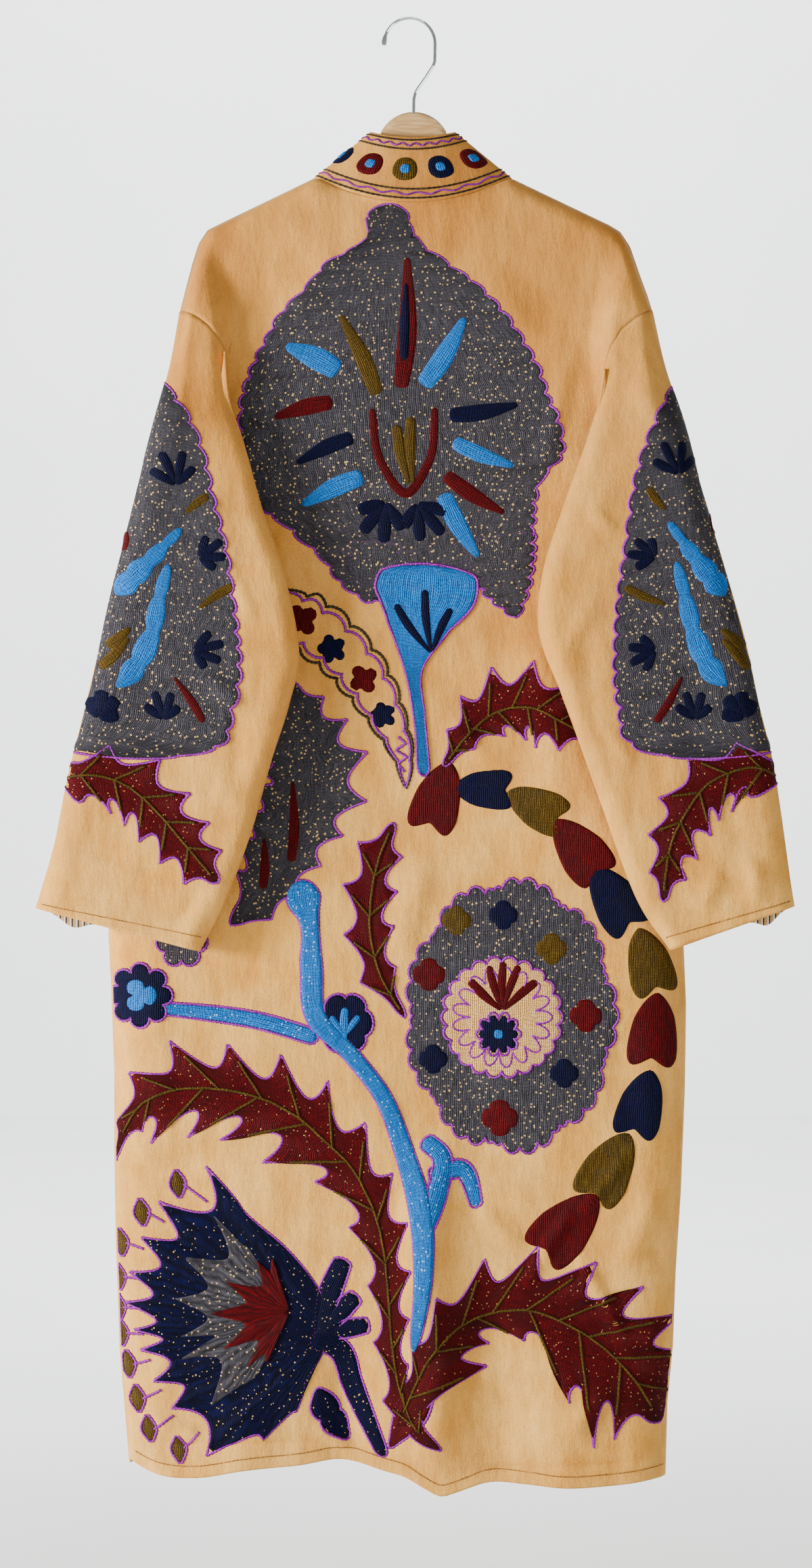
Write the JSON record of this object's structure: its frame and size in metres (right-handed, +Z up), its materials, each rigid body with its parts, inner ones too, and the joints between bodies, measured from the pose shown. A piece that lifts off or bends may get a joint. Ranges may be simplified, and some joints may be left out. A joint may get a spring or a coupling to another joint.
{
  "type": "long velvet coat on a wooden hanger with a wire hook",
  "caption": "Long open-fronted velvet coat with dropped sleeves and a neck band, hung by its shoulders on a wooden hanger with a bent wire hook.",
  "frame": {"origin": "inner top of the hook's bow, where a rail or nail carries the hanger", "axes": "+Z up, -Y towards the coat's back, +X to the right as the back is looked at"},
  "size_m": [0.6933, 0.0894, 1.3608],
  "materials": {
    "velvet": "cotton velvet, embroidered",
    "lining": "striped cotton",
    "wood": "satin varnish",
    "steel": "bright"
  },
  "bodies": {
    "root": {"back": "velvet", "front_left": "velvet", "front_right": "velvet", "sleeve_left": "velvet", "sleeve_right": "velvet", "collar": "velvet", "front_band_left": "velvet", "front_band_right": "velvet", "cuff_lining_left": "lining", "cuff_lining_right": "lining", "hanger_body": "wood", "hanger_hook": "steel"}
  },
  "joints": []
}
